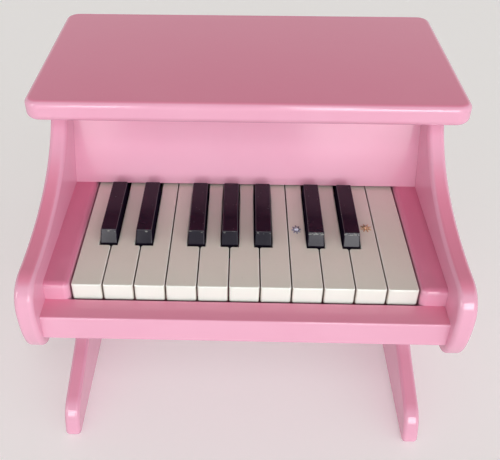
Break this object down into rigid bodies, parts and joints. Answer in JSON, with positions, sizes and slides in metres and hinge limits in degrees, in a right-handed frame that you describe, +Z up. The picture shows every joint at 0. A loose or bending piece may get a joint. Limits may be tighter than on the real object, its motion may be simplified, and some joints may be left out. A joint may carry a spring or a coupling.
{
  "type": "toy piano",
  "caption": "Small gloss-pink upright toy piano with a swept side profile, overhanging top, sled-foot legs and playable keys that swing hammers onto tone rods.",
  "frame": {"origin": "on the floor under the middle of the whole object", "axes": "+X along the keyboard to the player's right, +Y from the player to the back, +Z up"},
  "size_m": [0.3118, 0.289, 0.2556],
  "materials": {
    "pink_lacquer": "gloss candy-pink lacquer on board, light dust and rubbed edges",
    "bare_wood": "bare pale wood",
    "bright_steel": "drawn bright steel rod",
    "zinc_screw": "zinc-plated screws",
    "red_felt": "pressed wool felt",
    "foam_rubber": "springy foam rubber",
    "cast_block": "rough grey casting",
    "white_key_enamel": "satin white enamel, slightly soiled",
    "black_key_enamel": "gloss purple-black enamel with worn edges",
    "hammer_plastic": "moulded plastic"
  },
  "bodies": {
    "cabinet": {"top_board": "pink_lacquer", "left_side_panel": "pink_lacquer", "right_side_panel": "pink_lacquer", "front_panel": "pink_lacquer", "front_rail": "pink_lacquer", "left_key_cheek": "pink_lacquer", "right_key_cheek": "pink_lacquer", "keybed": "pink_lacquer", "back_panel": "pink_lacquer", "key_balance_rail": "bare_wood", "tail_rest_rail": "bare_wood", "hammer_rail": "bare_wood", "top_board_dowels": "bare_wood", "front_rail_dowels": "bare_wood", "key_pivot_rod": "bright_steel", "hammer_pivot_rod": "bright_steel", "tone_rods": "bright_steel", "tone_block_screws": "zinc_screw", "rail_screws": "zinc_screw", "back_panel_screws": "zinc_screw", "key_front_felt": "red_felt", "tail_rest_felt": "red_felt", "key_return_strip": "foam_rubber", "tone_block": "cast_block"},
    "white_key_01": {"white_key_01": "white_key_enamel"},
    "hammer_01": {"hammer_01": "hammer_plastic"},
    "black_key_01": {"black_key_01": "black_key_enamel"},
    "hammer_02": {"hammer_02": "hammer_plastic"},
    "white_key_02": {"white_key_02": "white_key_enamel"},
    "hammer_03": {"hammer_03": "hammer_plastic"},
    "black_key_02": {"black_key_02": "black_key_enamel"},
    "hammer_04": {"hammer_04": "hammer_plastic"},
    "white_key_03": {"white_key_03": "white_key_enamel"},
    "hammer_05": {"hammer_05": "hammer_plastic"},
    "white_key_04": {"white_key_04": "white_key_enamel"},
    "hammer_06": {"hammer_06": "hammer_plastic"},
    "black_key_03": {"black_key_03": "black_key_enamel"},
    "hammer_07": {"hammer_07": "hammer_plastic"},
    "white_key_05": {"white_key_05": "white_key_enamel"},
    "hammer_08": {"hammer_08": "hammer_plastic"},
    "black_key_04": {"black_key_04": "black_key_enamel"},
    "hammer_09": {"hammer_09": "hammer_plastic"},
    "white_key_06": {"white_key_06": "white_key_enamel"},
    "hammer_10": {"hammer_10": "hammer_plastic"},
    "black_key_05": {"black_key_05": "black_key_enamel"},
    "hammer_11": {"hammer_11": "hammer_plastic"},
    "white_key_07": {"white_key_07": "white_key_enamel"},
    "hammer_12": {"hammer_12": "hammer_plastic"},
    "white_key_08": {"white_key_08": "white_key_enamel"},
    "hammer_13": {"hammer_13": "hammer_plastic"},
    "black_key_06": {"black_key_06": "black_key_enamel"},
    "hammer_14": {"hammer_14": "hammer_plastic"},
    "white_key_09": {"white_key_09": "white_key_enamel"},
    "hammer_15": {"hammer_15": "hammer_plastic"},
    "black_key_07": {"black_key_07": "black_key_enamel"},
    "hammer_16": {"hammer_16": "hammer_plastic"},
    "white_key_10": {"white_key_10": "white_key_enamel"},
    "hammer_17": {"hammer_17": "hammer_plastic"},
    "white_key_11": {"white_key_11": "white_key_enamel"},
    "hammer_18": {"hammer_18": "hammer_plastic"}
  },
  "joints": [
    {"name": "white_key_01_press", "type": "hinge", "parent": "cabinet", "child": "white_key_01", "pos_m": [-0.10355, 0.0155, 0.1705], "axis": [1, 0, 0], "range_deg": [0, 2.8], "stiffness_Nm_per_rad": 0.3, "springref_deg": -6.88, "deforming": ["key_return_strip"]},
    {"name": "hammer_01_swing", "type": "hinge", "parent": "cabinet", "child": "hammer_01", "pos_m": [-0.10355, 0.062, 0.1825], "axis": [1, 0, 0], "range_deg": [-15.7, 0]},
    {"name": "black_key_01_press", "type": "hinge", "parent": "cabinet", "child": "black_key_01", "pos_m": [-0.0943, 0.0155, 0.1705], "axis": [1, 0, 0], "range_deg": [0, 2.8], "stiffness_Nm_per_rad": 0.3, "springref_deg": -6.88, "deforming": ["key_return_strip"]},
    {"name": "hammer_02_swing", "type": "hinge", "parent": "cabinet", "child": "hammer_02", "pos_m": [-0.0943, 0.062, 0.1825], "axis": [1, 0, 0], "range_deg": [-15.7, 0]},
    {"name": "white_key_02_press", "type": "hinge", "parent": "cabinet", "child": "white_key_02", "pos_m": [-0.082, 0.0155, 0.1705], "axis": [1, 0, 0], "range_deg": [0, 2.8], "stiffness_Nm_per_rad": 0.3, "springref_deg": -6.88, "deforming": ["key_return_strip"]},
    {"name": "hammer_03_swing", "type": "hinge", "parent": "cabinet", "child": "hammer_03", "pos_m": [-0.082, 0.062, 0.1825], "axis": [1, 0, 0], "range_deg": [-15.7, 0]},
    {"name": "black_key_02_press", "type": "hinge", "parent": "cabinet", "child": "black_key_02", "pos_m": [-0.0697, 0.0155, 0.1705], "axis": [1, 0, 0], "range_deg": [0, 2.8], "stiffness_Nm_per_rad": 0.3, "springref_deg": -6.88, "deforming": ["key_return_strip"]},
    {"name": "hammer_04_swing", "type": "hinge", "parent": "cabinet", "child": "hammer_04", "pos_m": [-0.0697, 0.062, 0.1825], "axis": [1, 0, 0], "range_deg": [-15.7, 0]},
    {"name": "white_key_03_press", "type": "hinge", "parent": "cabinet", "child": "white_key_03", "pos_m": [-0.06045, 0.0155, 0.1705], "axis": [1, 0, 0], "range_deg": [0, 2.8], "stiffness_Nm_per_rad": 0.3, "springref_deg": -6.88, "deforming": ["key_return_strip"]},
    {"name": "hammer_05_swing", "type": "hinge", "parent": "cabinet", "child": "hammer_05", "pos_m": [-0.06045, 0.062, 0.1825], "axis": [1, 0, 0], "range_deg": [-15.7, 0]},
    {"name": "white_key_04_press", "type": "hinge", "parent": "cabinet", "child": "white_key_04", "pos_m": [-0.04267, 0.0155, 0.1705], "axis": [1, 0, 0], "range_deg": [0, 2.8], "stiffness_Nm_per_rad": 0.3, "springref_deg": -6.88, "deforming": ["key_return_strip"]},
    {"name": "hammer_06_swing", "type": "hinge", "parent": "cabinet", "child": "hammer_06", "pos_m": [-0.04267, 0.062, 0.1825], "axis": [1, 0, 0], "range_deg": [-15.7, 0]},
    {"name": "black_key_03_press", "type": "hinge", "parent": "cabinet", "child": "black_key_03", "pos_m": [-0.03342, 0.0155, 0.1705], "axis": [1, 0, 0], "range_deg": [0, 2.8], "stiffness_Nm_per_rad": 0.3, "springref_deg": -6.88, "deforming": ["key_return_strip"]},
    {"name": "hammer_07_swing", "type": "hinge", "parent": "cabinet", "child": "hammer_07", "pos_m": [-0.03342, 0.062, 0.1825], "axis": [1, 0, 0], "range_deg": [-15.7, 0]},
    {"name": "white_key_05_press", "type": "hinge", "parent": "cabinet", "child": "white_key_05", "pos_m": [-0.02183, 0.0155, 0.1705], "axis": [1, 0, 0], "range_deg": [0, 2.8], "stiffness_Nm_per_rad": 0.3, "springref_deg": -6.88, "deforming": ["key_return_strip"]},
    {"name": "hammer_08_swing", "type": "hinge", "parent": "cabinet", "child": "hammer_08", "pos_m": [-0.02183, 0.062, 0.1825], "axis": [1, 0, 0], "range_deg": [-15.7, 0]},
    {"name": "black_key_04_press", "type": "hinge", "parent": "cabinet", "child": "black_key_04", "pos_m": [-0.01025, 0.0155, 0.1705], "axis": [1, 0, 0], "range_deg": [0, 2.8], "stiffness_Nm_per_rad": 0.3, "springref_deg": -6.88, "deforming": ["key_return_strip"]},
    {"name": "hammer_09_swing", "type": "hinge", "parent": "cabinet", "child": "hammer_09", "pos_m": [-0.01025, 0.062, 0.1825], "axis": [1, 0, 0], "range_deg": [-15.7, 0]},
    {"name": "white_key_06_press", "type": "hinge", "parent": "cabinet", "child": "white_key_06", "pos_m": [0.00133, 0.0155, 0.1705], "axis": [1, 0, 0], "range_deg": [0, 2.8], "stiffness_Nm_per_rad": 0.3, "springref_deg": -6.88, "deforming": ["key_return_strip"]},
    {"name": "hammer_10_swing", "type": "hinge", "parent": "cabinet", "child": "hammer_10", "pos_m": [0.00133, 0.062, 0.1825], "axis": [1, 0, 0], "range_deg": [-15.7, 0]},
    {"name": "black_key_05_press", "type": "hinge", "parent": "cabinet", "child": "black_key_05", "pos_m": [0.01291, 0.0155, 0.1705], "axis": [1, 0, 0], "range_deg": [0, 2.8], "stiffness_Nm_per_rad": 0.3, "springref_deg": -6.88, "deforming": ["key_return_strip"]},
    {"name": "hammer_11_swing", "type": "hinge", "parent": "cabinet", "child": "hammer_11", "pos_m": [0.01291, 0.062, 0.1825], "axis": [1, 0, 0], "range_deg": [-15.7, 0]},
    {"name": "white_key_07_press", "type": "hinge", "parent": "cabinet", "child": "white_key_07", "pos_m": [0.02217, 0.0155, 0.1705], "axis": [1, 0, 0], "range_deg": [0, 2.8], "stiffness_Nm_per_rad": 0.3, "springref_deg": -6.88, "deforming": ["key_return_strip"]},
    {"name": "hammer_12_swing", "type": "hinge", "parent": "cabinet", "child": "hammer_12", "pos_m": [0.02217, 0.062, 0.1825], "axis": [1, 0, 0], "range_deg": [-15.7, 0]},
    {"name": "white_key_08_press", "type": "hinge", "parent": "cabinet", "child": "white_key_08", "pos_m": [0.03995, 0.0155, 0.1705], "axis": [1, 0, 0], "range_deg": [0, 2.8], "stiffness_Nm_per_rad": 0.3, "springref_deg": -6.88, "deforming": ["key_return_strip"]},
    {"name": "hammer_13_swing", "type": "hinge", "parent": "cabinet", "child": "hammer_13", "pos_m": [0.03995, 0.062, 0.1825], "axis": [1, 0, 0], "range_deg": [-15.7, 0]},
    {"name": "black_key_06_press", "type": "hinge", "parent": "cabinet", "child": "black_key_06", "pos_m": [0.0492, 0.0155, 0.1705], "axis": [1, 0, 0], "range_deg": [0, 2.8], "stiffness_Nm_per_rad": 0.3, "springref_deg": -6.88, "deforming": ["key_return_strip"]},
    {"name": "hammer_14_swing", "type": "hinge", "parent": "cabinet", "child": "hammer_14", "pos_m": [0.0492, 0.062, 0.1825], "axis": [1, 0, 0], "range_deg": [-15.7, 0]},
    {"name": "white_key_09_press", "type": "hinge", "parent": "cabinet", "child": "white_key_09", "pos_m": [0.0615, 0.0155, 0.1705], "axis": [1, 0, 0], "range_deg": [0, 2.8], "stiffness_Nm_per_rad": 0.3, "springref_deg": -6.88, "deforming": ["key_return_strip"]},
    {"name": "hammer_15_swing", "type": "hinge", "parent": "cabinet", "child": "hammer_15", "pos_m": [0.0615, 0.062, 0.1825], "axis": [1, 0, 0], "range_deg": [-15.7, 0]},
    {"name": "black_key_07_press", "type": "hinge", "parent": "cabinet", "child": "black_key_07", "pos_m": [0.0738, 0.0155, 0.1705], "axis": [1, 0, 0], "range_deg": [0, 2.8], "stiffness_Nm_per_rad": 0.3, "springref_deg": -6.88, "deforming": ["key_return_strip"]},
    {"name": "hammer_16_swing", "type": "hinge", "parent": "cabinet", "child": "hammer_16", "pos_m": [0.0738, 0.062, 0.1825], "axis": [1, 0, 0], "range_deg": [-15.7, 0]},
    {"name": "white_key_10_press", "type": "hinge", "parent": "cabinet", "child": "white_key_10", "pos_m": [0.08305, 0.0155, 0.1705], "axis": [1, 0, 0], "range_deg": [0, 2.8], "stiffness_Nm_per_rad": 0.3, "springref_deg": -6.88, "deforming": ["key_return_strip"]},
    {"name": "hammer_17_swing", "type": "hinge", "parent": "cabinet", "child": "hammer_17", "pos_m": [0.08305, 0.062, 0.1825], "axis": [1, 0, 0], "range_deg": [-15.7, 0]},
    {"name": "white_key_11_press", "type": "hinge", "parent": "cabinet", "child": "white_key_11", "pos_m": [0.1025, 0.0155, 0.1705], "axis": [1, 0, 0], "range_deg": [0, 2.8], "stiffness_Nm_per_rad": 0.3, "springref_deg": -6.88, "deforming": ["key_return_strip"]},
    {"name": "hammer_18_swing", "type": "hinge", "parent": "cabinet", "child": "hammer_18", "pos_m": [0.1025, 0.062, 0.1825], "axis": [1, 0, 0], "range_deg": [-15.7, 0]}
  ],
  "couplings": [
    {"joint": "hammer_01_swing", "follows": "white_key_01_press", "ratio": -5.6},
    {"joint": "hammer_02_swing", "follows": "black_key_01_press", "ratio": -5.6},
    {"joint": "hammer_03_swing", "follows": "white_key_02_press", "ratio": -5.6},
    {"joint": "hammer_04_swing", "follows": "black_key_02_press", "ratio": -5.6},
    {"joint": "hammer_05_swing", "follows": "white_key_03_press", "ratio": -5.6},
    {"joint": "hammer_06_swing", "follows": "white_key_04_press", "ratio": -5.6},
    {"joint": "hammer_07_swing", "follows": "black_key_03_press", "ratio": -5.6},
    {"joint": "hammer_08_swing", "follows": "white_key_05_press", "ratio": -5.6},
    {"joint": "hammer_09_swing", "follows": "black_key_04_press", "ratio": -5.6},
    {"joint": "hammer_10_swing", "follows": "white_key_06_press", "ratio": -5.6},
    {"joint": "hammer_11_swing", "follows": "black_key_05_press", "ratio": -5.6},
    {"joint": "hammer_12_swing", "follows": "white_key_07_press", "ratio": -5.6},
    {"joint": "hammer_13_swing", "follows": "white_key_08_press", "ratio": -5.6},
    {"joint": "hammer_14_swing", "follows": "black_key_06_press", "ratio": -5.6},
    {"joint": "hammer_15_swing", "follows": "white_key_09_press", "ratio": -5.6},
    {"joint": "hammer_16_swing", "follows": "black_key_07_press", "ratio": -5.6},
    {"joint": "hammer_17_swing", "follows": "white_key_10_press", "ratio": -5.6},
    {"joint": "hammer_18_swing", "follows": "white_key_11_press", "ratio": -5.6}
  ]
}
